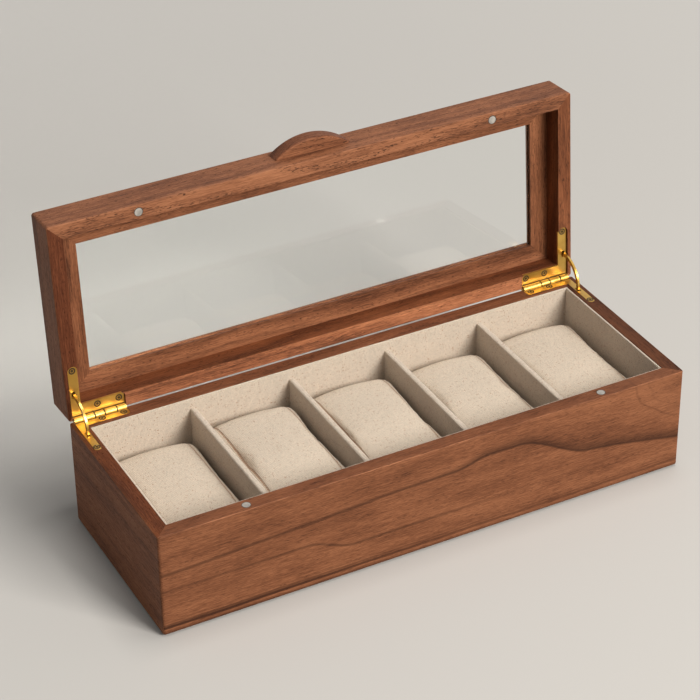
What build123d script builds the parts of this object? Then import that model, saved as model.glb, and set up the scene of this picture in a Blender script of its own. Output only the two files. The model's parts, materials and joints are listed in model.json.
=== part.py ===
from build123d import *
import math
import os

os.makedirs("parts", exist_ok=True)

# Watch display box, millimetres, +Z up, front face towards -Y, standing on its felt.
# The origin is the centre of the underside. The lid stands open, as it is stored.

# Case
box_length = 320.0
box_depth = 117.0
wall_height = 63.5
wall_thickness = 8.5
corner_radius = 1.6
bottom_edge_radius = 1.0
rim_edge_radius = 0.5
mitre_margin = 5.0
panel_thickness = 5.0
panel_rebate = 4.0
felt_thickness = 1.0
felt_inset = 6.0

# Linen lining and dividers; round_limit is the largest edge radius as a share of the thickness
liner_thickness = 1.3
liner_drop = 0.5
liner_edge_radius = 0.5
round_limit = 0.45
compartments = 5
divider_thickness = 3.4
divider_drop = 6.4
divider_edge_radius = 1.1

# Cushions
cushion_side_gap = 2.4
cushion_front_gap = 9.0
cushion_back_gap = 2.6
cushion_seat_gap = 0.3
cushion_heights = [39.4, 43.9, 42.9, 40.4, 42.4]
cushion_side_crown = 1.5
cushion_length_crown = 1.0
cushion_end_radius = 12.0
cushion_end_angle = 80.0
cushion_end_tuck = 2.4
cushion_draw_in = 0.8
cushion_top_radius = 7.0
cushion_foot_radius = 2.5
cushion_middle_steps = 2
cushion_end_steps = 4

# Lid
lid_height = 22.2
rim_gap = 0.2
open_angle = 94.3
bead_height = 9.3
bead_width = 11.2
bead_lip = 1.5
ledge_extra = 0.4
ledge_height = 1.2
top_recess_width = 3.0
glass_thickness = 2.0
glass_grip = 5.0
glass_face_gap = 0.05
glass_edge_gap = 0.3

# Pull tab let into the front of the lid
tab_chord = 46.0
tab_rise = 8.2
tab_thickness = 9.0
tab_rim_distance = 9.1
tab_tenon = 2.0
tab_edge_radius = 0.9
tab_seat_gap = 0.05

# Closing magnets
magnet_radius = 2.55
magnet_length = 4.0
magnet_end_distance = 51.9
magnet_seat_gap = 0.05

# Quadrant hinges
axis_offset = 0.2
knuckle_radius = 2.0
knuckle_clearance = 0.3
knuckle_lengths = [12.2, 5.8, 7.2, 5.8]
knuckle_gap = 0.4
pin_radius = 0.95
pin_clearance = 0.05
pin_end_chamfer = 0.2
leaf_thickness = 1.2
leaf_end_distance = 2.6
base_leaf_margin = 2.0
lid_leaf_margin = 0.15
base_leaf_reach = 30.8
lid_leaf_reach = 32.8
lid_leaf_recess = 1.2
back_leg_corner_radius = 1.6
mortise_gap = 0.2
screw_head_radius = 1.7
screw_shank_radius = 0.9
screw_length = 7.0
screw_slot_width = 0.45
screw_slot_depth = 0.35
screw_seat_gap = 0.05
back_screw_distances = [15.2, 27.8]
back_screw_edge_distance = 2.6
side_screw_end_distance = 2.9

# Curved stays of the quadrant hinges
stay_distance = 4.8
stay_radius = 15.2
stay_width = 2.2
stay_thickness = 1.2
stay_head_width = 4.0
stay_head_angle = 4.0
stay_clearance = 0.35
stay_slot_play = 0.9
stay_lead_angle = 7.5
stay_overrun_angle = 17.0
pocket_start_angle = -4.0

# Levels and places that follow
half_length = box_length / 2
half_depth = box_depth / 2
base_z = felt_thickness
rim_z = base_z + wall_height
panel_top_z = base_z + panel_thickness
floor_z = panel_top_z + liner_thickness
lid_rim_z = rim_z + rim_gap
lid_top_z = lid_rim_z + lid_height
bead_z = lid_top_z - bead_height
inner_length = box_length - 2 * wall_thickness
inner_depth = box_depth - 2 * wall_thickness
lined_length = inner_length - 2 * liner_thickness
lined_depth = inner_depth - 2 * liner_thickness
divider_pitch = (lined_length + divider_thickness) / compartments
compartment_width = divider_pitch - divider_thickness
mitre_reach = wall_thickness + bead_width + 2 * ledge_extra
axis_y = half_depth + axis_offset
axis_z = rim_z + rim_gap / 2
barrel_length = sum(knuckle_lengths)
screw_cone_depth = screw_head_radius - screw_shank_radius

# The lid is drawn shut and this plane swings it open about the hinge axis.
sin_open = math.sin(math.radians(open_angle))
cos_open = math.cos(math.radians(open_angle))
lid_frame = Plane(
    origin=(
        0,
        axis_y - axis_y * cos_open - axis_z * sin_open,
        axis_z + axis_y * sin_open - axis_z * cos_open,
    ),
    x_dir=(1, 0, 0),
    z_dir=(0, sin_open, cos_open),
)


def base_place(plane):
    """The base stands as it is drawn."""
    return plane


def lid_place(plane):
    """A plane drawn on the shut lid, carried to the open lid."""
    return lid_frame.moved(plane)


# What differs between the two halves that each hinge joins: place, rim level and direction
# into the wood.
halves = {
    "base": (base_place, rim_z, -1),
    "lid": (lid_place, lid_rim_z, 1),
}

# Each leaf's depth below its rim, the wood left inside its legs and its reach from the axis
leaves = {
    "base": (0.0, base_leaf_margin, base_leaf_reach),
    "lid": (lid_leaf_recess, lid_leaf_margin, lid_leaf_reach),
}
hands = {"left": -1, "right": 1}
sides = ["front", "back", "left", "right"]


def mitre_outline(side):
    """Outline of one side's share of the frame, cut at 45 degrees at both corners."""
    out_x = half_length + mitre_margin
    out_y = half_depth + mitre_margin
    in_x = half_length - mitre_reach
    in_y = half_depth - mitre_reach
    if side in ("front", "back"):
        turn = -1 if side == "front" else 1
        return [(-out_x, turn * out_y), (out_x, turn * out_y), (in_x, turn * in_y), (-in_x, turn * in_y)]
    turn = -1 if side == "left" else 1
    return [(turn * out_x, -out_y), (turn * out_x, out_y), (turn * in_x, in_y), (turn * in_x, -in_y)]


def cut_to_mitre(side, plane, height):
    """Keep only one side's mitred share of the frame in the part being built."""
    with BuildSketch(plane) as share:
        with BuildLine():
            Polyline(*mitre_outline(side), close=True)
        make_face()
    extrude(share.sketch, amount=height, mode=Mode.INTERSECT)


def cut_block(plane, length, depth, height):
    """Cut a centred block from the part being built."""
    with BuildSketch(plane) as block:
        Rectangle(length, depth)
    extrude(block.sketch, amount=height, mode=Mode.SUBTRACT)


def hinge_x(hand, distance):
    """X of a point at a distance in from the box's left or right end."""
    return hands[hand] * (half_length - distance)


def hinge_y(reach):
    """Y of a point at a reach in front of the hinge axis."""
    return axis_y - reach


def leaf_outline(half, hand, grow=0.0):
    """L-shaped leaf: one leg along the back rail, a round-ended leg along the side rail."""
    margin, reach = leaves[half][1:]
    back_leg_end = leaf_end_distance + barrel_length
    back_leg_width = wall_thickness + axis_offset - margin
    side_leg_edge = wall_thickness - margin
    side_leg_centre = (leaf_end_distance + side_leg_edge) / 2
    side_leg_round = reach - (side_leg_edge - leaf_end_distance) / 2
    corner = back_leg_corner_radius
    with BuildSketch() as outline:
        with BuildLine():
            Polyline(
                (hinge_x(hand, side_leg_edge), hinge_y(side_leg_round)),
                (hinge_x(hand, side_leg_edge), hinge_y(back_leg_width)),
                (hinge_x(hand, back_leg_end - corner), hinge_y(back_leg_width)),
            )
            RadiusArc(
                (hinge_x(hand, back_leg_end - corner), hinge_y(back_leg_width)),
                (hinge_x(hand, back_leg_end), hinge_y(back_leg_width - corner)),
                corner * hands[hand],
            )
            Polyline(
                (hinge_x(hand, back_leg_end), hinge_y(back_leg_width - corner)),
                (hinge_x(hand, back_leg_end), hinge_y(0)),
                (hinge_x(hand, leaf_end_distance), hinge_y(0)),
                (hinge_x(hand, leaf_end_distance), hinge_y(side_leg_round)),
            )
            ThreePointArc(
                (hinge_x(hand, leaf_end_distance), hinge_y(side_leg_round)),
                (hinge_x(hand, side_leg_centre), hinge_y(reach)),
                (hinge_x(hand, side_leg_edge), hinge_y(side_leg_round)),
            )
        make_face()
        if grow > 0:
            offset(amount=grow, kind=Kind.ARC)
    return outline.sketch


def screw_places(half, hand):
    """Centres of one leaf's three screws."""
    margin, reach = leaves[half][1:]
    side_leg_centre = (leaf_end_distance + wall_thickness - margin) / 2
    back_screw_reach = wall_thickness + axis_offset - margin - back_screw_edge_distance
    spots = [(hinge_x(hand, side_leg_centre), hinge_y(reach - side_screw_end_distance))]
    for distance in back_screw_distances:
        spots.append((hinge_x(hand, leaf_end_distance + distance), hinge_y(back_screw_reach)))
    return spots


def barrel_span(hand, start, length):
    """Lowest X of a stretch of barrel that starts so far in from the leaf's outer end."""
    first = hinge_x(hand, leaf_end_distance + start)
    last = hinge_x(hand, leaf_end_distance + start + length)
    return min(first, last)


def barrel_round(place, hand, start, length, radius, mode):
    """A round bar on the hinge axis, added to or cut from the part being built."""
    with BuildSketch(place(Plane.YZ.offset(barrel_span(hand, start, length)))) as section:
        with Locations((axis_y, axis_z)):
            Circle(radius)
    extrude(section.sketch, amount=length, mode=mode)


def arc_band(inner, outer, start, end):
    """Band round the hinge axis. Angles count up from the rim's plane in front of the axis."""
    def spot(radius, angle):
        turn = math.radians(angle)
        return (axis_y - radius * math.cos(turn), axis_z + radius * math.sin(turn))

    middle = (start + end) / 2
    with BuildSketch() as band:
        with BuildLine():
            ThreePointArc(spot(outer, start), spot(outer, middle), spot(outer, end))
            Line(spot(outer, end), spot(inner, end))
            ThreePointArc(spot(inner, end), spot(inner, middle), spot(inner, start))
            Line(spot(inner, start), spot(outer, start))
        make_face()
    return band.sketch


def stay_lead(half):
    """Angle from one half's rim to the near face of the stay's stop head, with the lid open."""
    recess = leaves[half][0]
    return stay_lead_angle + math.degrees(recess / stay_radius)


def cut_stay_pocket(half, hand):
    """Curved pocket that the stay runs into as the lid shuts."""
    place, rim_level, into = halves[half]
    end_angle = stay_lead(half) + stay_head_angle + open_angle / 2 + stay_overrun_angle
    width = stay_thickness + 2 * stay_clearance
    inner = stay_radius - stay_head_width / 2 - stay_clearance
    outer = stay_radius + stay_head_width / 2 + stay_clearance
    with BuildSketch(place(Plane.YZ.offset(hinge_x(hand, stay_distance) - width / 2))) as pocket:
        add(arc_band(inner, outer, into * pocket_start_angle, into * end_angle))
    extrude(pocket.sketch, amount=width, mode=Mode.SUBTRACT)


def cut_hinge_seat(half, hand):
    """Mortise, barrel relief, screw holes and stay pocket of one hinge in one half."""
    place, rim_level, into = halves[half]
    recess = leaves[half][0]
    face_z = rim_level + into * recess
    with BuildSketch(place(Plane.XY.offset(rim_level))) as mortise:
        add(leaf_outline(half, hand, mortise_gap))
    extrude(mortise.sketch, amount=into * (recess + leaf_thickness), mode=Mode.SUBTRACT)
    relief = knuckle_radius + knuckle_clearance
    barrel_round(place, hand, -mortise_gap, barrel_length + 2 * mortise_gap, relief, Mode.SUBTRACT)
    with BuildSketch(place(Plane.XY.offset(face_z))) as holes:
        with Locations(*screw_places(half, hand)):
            Circle(screw_shank_radius + screw_seat_gap)
    extrude(holes.sketch, amount=into * (screw_length + screw_seat_gap), mode=Mode.SUBTRACT)
    cut_stay_pocket(half, hand)


def magnet_place(hand):
    """Centre of a magnet in the middle of the front wall's thickness."""
    return (hinge_x(hand, magnet_end_distance), -half_depth + wall_thickness / 2)


def cut_magnet_seats(half):
    """Blind holes for the two magnets in one front rim."""
    place, rim_level, into = halves[half]
    with BuildSketch(place(Plane.XY.offset(rim_level))) as seats:
        with Locations(magnet_place("left"), magnet_place("right")):
            Circle(magnet_radius + magnet_seat_gap)
    extrude(seats.sketch, amount=into * magnet_length, mode=Mode.SUBTRACT)


# Case walls: mitred boards, rebated inside at the foot for the bottom panel
for side in sides:
    with BuildPart() as wall:
        with BuildSketch(Plane.XY.offset(base_z)):
            RectangleRounded(box_length, box_depth, corner_radius)
        extrude(amount=wall_height)
        fillet(wall.faces().sort_by(Axis.Z)[0].edges(), bottom_edge_radius)
        fillet(wall.faces().sort_by(Axis.Z)[-1].edges(), rim_edge_radius)
        cut_to_mitre(side, Plane.XY.offset(base_z), wall_height)
        cut_block(Plane.XY.offset(base_z), inner_length, inner_depth, wall_height)
        cut_block(
            Plane.XY.offset(base_z),
            inner_length + 2 * panel_rebate,
            inner_depth + 2 * panel_rebate,
            panel_thickness,
        )
        if side == "front":
            cut_magnet_seats("base")
        else:
            for hand in hands:
                if side in ("back", hand):
                    cut_hinge_seat("base", hand)
    wall.part.label = f"wall_{side}"
    export_step(wall.part, f"parts/wall_{side}.step")

# Bottom panel in the rebate
with BuildPart() as base_panel:
    with BuildSketch(Plane.XY.offset(base_z)):
        Rectangle(inner_length + 2 * panel_rebate, inner_depth + 2 * panel_rebate)
    extrude(amount=panel_thickness)
base_panel.part.label = "base_panel"
export_step(base_panel.part, "parts/base_panel.step")

# Felt sheet that the box stands on
with BuildPart() as felt_pad:
    with BuildSketch():
        Rectangle(box_length - 2 * felt_inset, box_depth - 2 * felt_inset)
    extrude(amount=felt_thickness)
felt_pad.part.label = "felt_pad"
export_step(felt_pad.part, "parts/felt_pad.step")

# Linen-covered floor board
with BuildPart() as liner_floor:
    with BuildSketch(Plane.XY.offset(panel_top_z)):
        Rectangle(inner_length, inner_depth)
    extrude(amount=liner_thickness)
liner_floor.part.label = "liner_floor"
export_step(liner_floor.part, "parts/liner_floor.step")

# Linen-covered side boards, their turned top edges rounded
liner_height = rim_z - liner_drop - floor_z
for side in sides:
    turn = -1 if side in ("front", "left") else 1
    with BuildPart() as liner:
        if side in ("front", "back"):
            liner_y = turn * (inner_depth - liner_thickness) / 2
            with BuildSketch(Plane.XY.offset(floor_z)):
                with Locations((0, liner_y)):
                    Rectangle(inner_length, liner_thickness)
        else:
            liner_x = turn * (inner_length - liner_thickness) / 2
            with BuildSketch(Plane.XY.offset(floor_z)):
                with Locations((liner_x, 0)):
                    Rectangle(liner_thickness, lined_depth)
        extrude(amount=liner_height)
        long_axis = Axis.X if side in ("front", "back") else Axis.Y
        top_edges = liner.faces().sort_by(Axis.Z)[-1].edges().filter_by(long_axis)
        fillet(top_edges, min(liner_edge_radius, round_limit * liner_thickness))
    liner.part.label = f"liner_{side}"
    export_step(liner.part, f"parts/liner_{side}.step")

# Dividers between the compartments, wrapped in linen over a rounded top
divider_height = rim_z - divider_drop - floor_z
for index in range(1, compartments):
    divider_x = -lined_length / 2 + index * divider_pitch - divider_thickness / 2
    with BuildPart() as divider:
        with BuildSketch(Plane.XY.offset(floor_z)):
            with Locations((divider_x, 0)):
                Rectangle(divider_thickness, lined_depth)
        extrude(amount=divider_height)
        top_edges = divider.faces().sort_by(Axis.Z)[-1].edges().filter_by(Axis.Y)
        fillet(top_edges, min(divider_edge_radius, round_limit * divider_thickness))
    divider.part.label = f"divider_{index}"
    export_step(divider.part, f"parts/divider_{index}.step")

# Cushions: crowned along and across, sides drawn in between the corners, ends rolled over
cushion_width = compartment_width - 2 * cushion_side_gap
cushion_length = lined_depth - cushion_front_gap - cushion_back_gap
cushion_middle_y = (cushion_front_gap - cushion_back_gap) / 2


def cushion_stations():
    """Distance from the middle, narrowing of each side and drop of the top, from end to end."""
    end_angle = math.radians(cushion_end_angle)
    end_start = cushion_length / 2 - cushion_end_radius * math.sin(end_angle)
    stations = []
    for step in range(cushion_middle_steps + 1):
        share = step / cushion_middle_steps
        draw_in = cushion_draw_in * (1 - share * share)
        stations.append((share * end_start, draw_in, cushion_length_crown * share * share))
    for step in range(1, cushion_end_steps + 1):
        angle = end_angle * step / cushion_end_steps
        fall = 1 - math.cos(angle)
        distance = end_start + cushion_end_radius * math.sin(angle)
        drop = cushion_length_crown + cushion_end_radius * fall
        stations.append((distance, cushion_end_tuck * fall, drop))
    front_half = [(-distance, narrowing, drop) for distance, narrowing, drop in stations[:0:-1]]
    return front_half + stations


def cushion_section(centre_x, station_y, width, height):
    """One cross-section of a cushion: flat foot, straight sides, rounded shoulders, crown."""
    half = width / 2
    shoulder = cushion_top_radius
    foot = cushion_foot_radius
    side_top = height - cushion_side_crown - shoulder
    crown_edge = half - shoulder
    crown_z = side_top + shoulder
    diagonal = 1 - math.sqrt(0.5)
    section_plane = Plane(
        origin=(centre_x, station_y, floor_z + cushion_seat_gap),
        x_dir=(1, 0, 0),
        z_dir=(0, -1, 0),
    )
    with BuildSketch(section_plane) as section:
        with BuildLine():
            Line((-half + foot, 0), (half - foot, 0))
            ThreePointArc((half - foot, 0), (half - foot * diagonal, foot * diagonal), (half, foot))
            Line((half, foot), (half, side_top))
            ThreePointArc(
                (half, side_top),
                (half - shoulder * diagonal, crown_z - shoulder * diagonal),
                (crown_edge, crown_z),
            )
            ThreePointArc((crown_edge, crown_z), (0, height), (-crown_edge, crown_z))
            ThreePointArc(
                (-crown_edge, crown_z),
                (-half + shoulder * diagonal, crown_z - shoulder * diagonal),
                (-half, side_top),
            )
            Line((-half, side_top), (-half, foot))
            ThreePointArc((-half, foot), (-half + foot * diagonal, foot * diagonal), (-half + foot, 0))
        make_face()
    return section.sketch.face()


for index in range(1, compartments + 1):
    cushion_x = -lined_length / 2 + (index - 0.5) * divider_pitch - divider_thickness / 2
    full_height = cushion_heights[(index - 1) % len(cushion_heights)]
    sections = []
    for distance, narrowing, drop in cushion_stations():
        station_y = cushion_middle_y + distance
        station_width = cushion_width - 2 * narrowing
        sections.append(cushion_section(cushion_x, station_y, station_width, full_height - drop))
    with BuildPart() as cushion:
        loft(sections, ruled=True)
    cushion.part.label = f"cushion_{index}"
    export_step(cushion.part, f"parts/cushion_{index}.step")

# Lid rails: mitred boards round the glass frame
for side in sides:
    with BuildPart() as rail:
        with BuildSketch(Plane.XY.offset(lid_rim_z)):
            RectangleRounded(box_length, box_depth, corner_radius)
        extrude(amount=lid_height)
        fillet(rail.faces().sort_by(Axis.Z)[0].edges(), rim_edge_radius)
        fillet(rail.faces().sort_by(Axis.Z)[-1].edges(), bottom_edge_radius)
        cut_to_mitre(side, Plane.XY.offset(lid_rim_z), lid_height)
        cut_block(Plane.XY.offset(lid_rim_z), inner_length, inner_depth, lid_height)
    with BuildPart() as lid_rail:
        add(lid_frame.location * rail.part)
        if side == "front":
            cut_magnet_seats("lid")
            tab_seat_z = lid_rim_z + tab_rim_distance - tab_seat_gap
            with BuildSketch(lid_place(Plane.XY.offset(tab_seat_z))) as tab_seat:
                with Locations((0, -half_depth)):
                    Rectangle(tab_chord + 2 * tab_seat_gap, 2 * tab_tenon)
            extrude(tab_seat.sketch, amount=tab_thickness + 2 * tab_seat_gap, mode=Mode.SUBTRACT)
        else:
            for hand in hands:
                if side in ("back", hand):
                    cut_hinge_seat("lid", hand)
    lid_rail.part.label = f"lid_rail_{side}"
    export_step(lid_rail.part, f"parts/lid_rail_{side}.step")

# Glass frame: mitred strips with a groove for the pane, a ledge beyond it and a stepped top
bead_opening_length = inner_length - 2 * bead_width
bead_opening_depth = inner_depth - 2 * bead_width
groove_height = glass_thickness + 2 * glass_face_gap
ledge_z = bead_z + bead_lip + groove_height
for side in sides:
    with BuildPart() as bead:
        with BuildSketch(lid_place(Plane.XY.offset(bead_z))):
            Rectangle(inner_length, inner_depth)
        extrude(amount=bead_height)
        cut_block(
            lid_place(Plane.XY.offset(bead_z)),
            bead_opening_length,
            bead_opening_depth,
            bead_lip + groove_height,
        )
        cut_block(
            lid_place(Plane.XY.offset(bead_z + bead_lip)),
            bead_opening_length + 2 * glass_grip,
            bead_opening_depth + 2 * glass_grip,
            groove_height,
        )
        cut_block(
            lid_place(Plane.XY.offset(ledge_z)),
            bead_opening_length - 2 * ledge_extra,
            bead_opening_depth - 2 * ledge_extra,
            ledge_height,
        )
        cut_block(
            lid_place(Plane.XY.offset(ledge_z + ledge_height)),
            bead_opening_length + 2 * top_recess_width,
            bead_opening_depth + 2 * top_recess_width,
            lid_top_z - ledge_z - ledge_height,
        )
        cut_to_mitre(side, lid_place(Plane.XY.offset(bead_z)), bead_height)
    bead.part.label = f"glass_frame_{side}"
    export_step(bead.part, f"parts/glass_frame_{side}.step")

# Pane in the groove
with BuildPart() as glass_pane:
    with BuildSketch(lid_place(Plane.XY.offset(bead_z + bead_lip + glass_face_gap))):
        Rectangle(
            bead_opening_length + 2 * (glass_grip - glass_edge_gap),
            bead_opening_depth + 2 * (glass_grip - glass_edge_gap),
        )
    extrude(amount=glass_thickness)
glass_pane.part.label = "glass_pane"
export_step(glass_pane.part, "parts/glass_pane.step")

# Pull tab: a segment of a disc with a tenon in the lid's front rail
with BuildPart() as pull_tab:
    with BuildSketch(lid_place(Plane.XY.offset(lid_rim_z + tab_rim_distance))):
        with BuildLine():
            ThreePointArc(
                (-tab_chord / 2, -half_depth),
                (0, -half_depth - tab_rise),
                (tab_chord / 2, -half_depth),
            )
            Polyline(
                (tab_chord / 2, -half_depth),
                (tab_chord / 2, -half_depth + tab_tenon),
                (-tab_chord / 2, -half_depth + tab_tenon),
                (-tab_chord / 2, -half_depth),
            )
        make_face()
    extrude(amount=tab_thickness)
    fillet(pull_tab.edges().filter_by(GeomType.CIRCLE), tab_edge_radius)
pull_tab.part.label = "pull_tab"
export_step(pull_tab.part, "parts/pull_tab.step")

# Magnets, flush with the rims
for half in halves:
    place, rim_level, into = halves[half]
    for hand in hands:
        with BuildPart() as magnet:
            with BuildSketch(place(Plane.XY.offset(rim_level))):
                with Locations(magnet_place(hand)):
                    Circle(magnet_radius)
            extrude(amount=into * magnet_length)
        magnet.part.label = f"{half}_magnet_{hand}"
        export_step(magnet.part, f"parts/{half}_magnet_{hand}.step")

# Hinge leaves in their mortises, with every second knuckle each
for half in halves:
    place, rim_level, into = halves[half]
    face_z = rim_level + into * leaves[half][0]
    for hand in hands:
        lengths = knuckle_lengths if hand == "left" else knuckle_lengths[::-1]
        with BuildPart() as leaf:
            with BuildSketch(place(Plane.XY.offset(face_z))):
                add(leaf_outline(half, hand))
            extrude(amount=into * leaf_thickness)
            start = 0.0
            for number, length in enumerate(lengths):
                owner = "lid" if number % 2 == 0 else "base"
                clear_start = start - knuckle_gap / 2
                clear_length = length + knuckle_gap
                if owner == half:
                    own_start = start + knuckle_gap / 2
                    own_length = length - knuckle_gap
                    barrel_round(place, hand, own_start, own_length, knuckle_radius, Mode.ADD)
                else:
                    clear_radius = knuckle_radius + knuckle_clearance
                    barrel_round(place, hand, clear_start, clear_length, clear_radius, Mode.SUBTRACT)
                start = start + length
            barrel_round(place, hand, 0, barrel_length, pin_radius + pin_clearance, Mode.SUBTRACT)
            for spot in screw_places(half, hand):
                with BuildSketch(place(Plane.XY.offset(face_z))) as mouth:
                    with Locations(spot):
                        Circle(screw_head_radius + screw_seat_gap)
                with BuildSketch(place(Plane.XY.offset(face_z + into * screw_cone_depth))) as throat:
                    with Locations(spot):
                        Circle(screw_shank_radius + screw_seat_gap)
                loft([mouth.sketch.face(), throat.sketch.face()], mode=Mode.SUBTRACT)
                extrude(throat.sketch, amount=into * leaf_thickness, mode=Mode.SUBTRACT)
            slot_length = stay_width + 2 * stay_slot_play
            with BuildSketch(place(Plane.XY.offset(face_z))) as slot:
                with Locations((hinge_x(hand, stay_distance), hinge_y(stay_radius))):
                    Rectangle(stay_thickness + 2 * stay_clearance, slot_length)
            extrude(slot.sketch, amount=into * leaf_thickness, mode=Mode.SUBTRACT)
        leaf.part.label = f"{half}_leaf_{hand}"
        export_step(leaf.part, f"parts/{half}_leaf_{hand}.step")

# Hinge pins
for hand in hands:
    with BuildPart() as hinge_pin:
        with BuildSketch(Plane.YZ.offset(barrel_span(hand, 0, barrel_length))):
            with Locations((axis_y, axis_z)):
                Circle(pin_radius)
        extrude(amount=barrel_length)
        chamfer(hinge_pin.edges().filter_by(GeomType.CIRCLE), pin_end_chamfer)
    hinge_pin.part.label = f"hinge_pin_{hand}"
    export_step(hinge_pin.part, f"parts/hinge_pin_{hand}.step")

# Countersunk screws, three to a leaf, with a cross slot
for half in halves:
    place, rim_level, into = halves[half]
    face_z = rim_level + into * leaves[half][0]
    for hand in hands:
        with BuildPart() as leaf_screws:
            for spot in screw_places(half, hand):
                with BuildSketch(place(Plane.XY.offset(face_z))) as head:
                    with Locations(spot):
                        Circle(screw_head_radius)
                with BuildSketch(place(Plane.XY.offset(face_z + into * screw_cone_depth))) as neck:
                    with Locations(spot):
                        Circle(screw_shank_radius)
                loft([head.sketch.face(), neck.sketch.face()])
                extrude(neck.sketch, amount=into * (screw_length - screw_cone_depth))
                with BuildSketch(place(Plane.XY.offset(face_z))) as cross:
                    with Locations(spot):
                        Rectangle(2 * screw_shank_radius, screw_slot_width)
                        Rectangle(screw_slot_width, 2 * screw_shank_radius)
                extrude(cross.sketch, amount=into * screw_slot_depth, mode=Mode.SUBTRACT)
        leaf_screws.part.label = f"{half}_screws_{hand}"
        export_step(leaf_screws.part, f"parts/{half}_screws_{hand}.step")

# Curved stays: a band with a wider stop head at each end, half way between base and lid
for hand in hands:
    band_inner = stay_radius - stay_width / 2
    band_outer = stay_radius + stay_width / 2
    head_inner = stay_radius - stay_head_width / 2
    head_outer = stay_radius + stay_head_width / 2
    base_head = -stay_lead("base")
    base_end = base_head - stay_head_angle
    lid_head = open_angle + stay_lead("lid")
    lid_end = lid_head + stay_head_angle
    with BuildPart() as stay:
        with BuildSketch(Plane.YZ.offset(hinge_x(hand, stay_distance) - stay_thickness / 2)):
            add(arc_band(band_inner, band_outer, base_end, lid_end))
            add(arc_band(head_inner, head_outer, base_end, base_head))
            add(arc_band(head_inner, head_outer, lid_head, lid_end))
        extrude(amount=stay_thickness)
    stay.part.label = f"stay_{hand}"
    export_step(stay.part, f"parts/stay_{hand}.step")
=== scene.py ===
"""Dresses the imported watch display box: walnut, linen, brass, nickel, glass, felt and cushions."""
import json
import math

import bpy
import numpy as np
from bpy.props import FloatProperty, FloatVectorProperty, PointerProperty
from mathutils import Matrix, Vector


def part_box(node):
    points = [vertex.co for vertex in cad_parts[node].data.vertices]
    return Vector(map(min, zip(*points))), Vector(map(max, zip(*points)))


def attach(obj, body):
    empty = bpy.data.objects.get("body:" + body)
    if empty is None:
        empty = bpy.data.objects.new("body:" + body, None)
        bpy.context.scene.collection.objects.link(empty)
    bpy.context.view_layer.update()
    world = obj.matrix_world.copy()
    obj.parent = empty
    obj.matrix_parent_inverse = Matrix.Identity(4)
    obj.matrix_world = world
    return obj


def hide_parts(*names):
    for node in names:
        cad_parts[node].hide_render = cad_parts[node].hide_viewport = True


bl_info = {
    "name": "Watch display box",
    "version": (1, 0, 0),
    "blender": (4, 5, 0),
    "location": "3D View > Sidebar > Watch box",
    "description": "Walnut, linen, brass, glass and cushions for the packed watch display box",
    "category": "Object",
}

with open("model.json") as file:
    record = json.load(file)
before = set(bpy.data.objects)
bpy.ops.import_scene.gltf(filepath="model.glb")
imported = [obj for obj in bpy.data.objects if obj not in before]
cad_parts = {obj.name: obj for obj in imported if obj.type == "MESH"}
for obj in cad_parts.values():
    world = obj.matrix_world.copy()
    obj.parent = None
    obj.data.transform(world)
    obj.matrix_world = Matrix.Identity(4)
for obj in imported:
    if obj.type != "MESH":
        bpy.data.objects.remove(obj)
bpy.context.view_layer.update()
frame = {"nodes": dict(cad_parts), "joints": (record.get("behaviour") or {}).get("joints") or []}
NODES = frame["nodes"]
MM = 0.001
SIDES = ("front", "back", "left", "right")
HANDS = ("left", "right")
CUSHIONS = 5

lid_joint = next(joint for joint in frame["joints"] if joint["name"] == "lid_hinge")
HINGE_AXIS = Vector(lid_joint["pos_m"])
OPEN_ANGLE = math.radians(abs(lid_joint["range_deg"][0]))
RIM_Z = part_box("wall_front")[1].z
HALF_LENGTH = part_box("wall_right")[1].x / MM

# All but the innermost of each hinge's knuckles from its outer end, the leaf's distance from the
# box's end and a reach that holds one screw's points but not its neighbour's, in millimetres
KNUCKLES = {"left": (12.2, 5.8, 7.2), "right": (5.8, 7.2, 5.8)}
LEAF_END = 2.6
SCREW_REACH = 9.0

# Cushions, in millimetres: the mesh's grain, how far the filling may swell them, how deep the seam
# and its puckers go, how far each reaches to its sides, and how far the front has sunk
CUSHION_GRAIN = 2.6
SWELL_CAP = 1.4
SEAM_DEPTH = 0.4
SEAM_REACH = 1.1
PUCKER_DEPTH = 0.16
PUCKER_REACH = 3.2
FRONT_DROP = 2.4

# Cloth simulation of the filling: the pressure inside and the number of frames
FILLING_PRESSURE = 4.0
FILLING_FRAMES = 20

# Tints that multiply the walnut, board by board. A board that isn't named has the plain one. They
# were matched to the photograph under this stage's lamps, so they are partly the wood's own tone and
# partly painted shade and painted light: a board's rim or face made darker or lighter for how light
# falls on it.
NO_TINT = (1.0, 1.0, 1.0)
PLAIN_RIM_TONE_AND_SHADE = (0.74, 0.7, 0.68)
CASE_RIM_TONES_AND_SHADES = {"left": (0.52, 0.4, 0.32), "right": (0.38, 0.32, 0.27)}
LID_RIM_LIGHT_AND_SHADE = {
    "front": (1.12, 1.16, 1.2),
    "back": (1.6, 1.6, 1.6),
    "left": (0.48, 0.37, 0.33),
    "right": (0.82, 0.74, 0.68),
}
LID_RAIL_SHADES = {"back": (0.76, 0.62, 0.5), "right": (0.62, 0.47, 0.34)}
PANEL_TINT = (1.12, 1.1, 1.08)
TAB_TINT = (0.66, 0.6, 0.58)
TAB_RIM = (0.95, 0.95, 0.95)

# Roughness of the brass, and the rings of painted shade round a screw in its leaf and on its own
# head, as inner and outer radii in millimetres
LEAF_SHINE = 0.3
SMALL_SHINE = 0.24
LEAF_SHADE_RING = (1.5, 2.1)
HEAD_SHADE_RING = (1.25, 1.85)

# The floor's share of its colour where it is seen, where it lights things, and in its far glow,
# the background's strength where it is seen, and the lamps' distance in metres
FLOOR_SEEN = 0.76
FLOOR_BOUNCE = 0.3
FLOOR_GLOW = 0.2
BACKGROUND_STRENGTH = 0.8
LAMP_DISTANCE = 2.6

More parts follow.
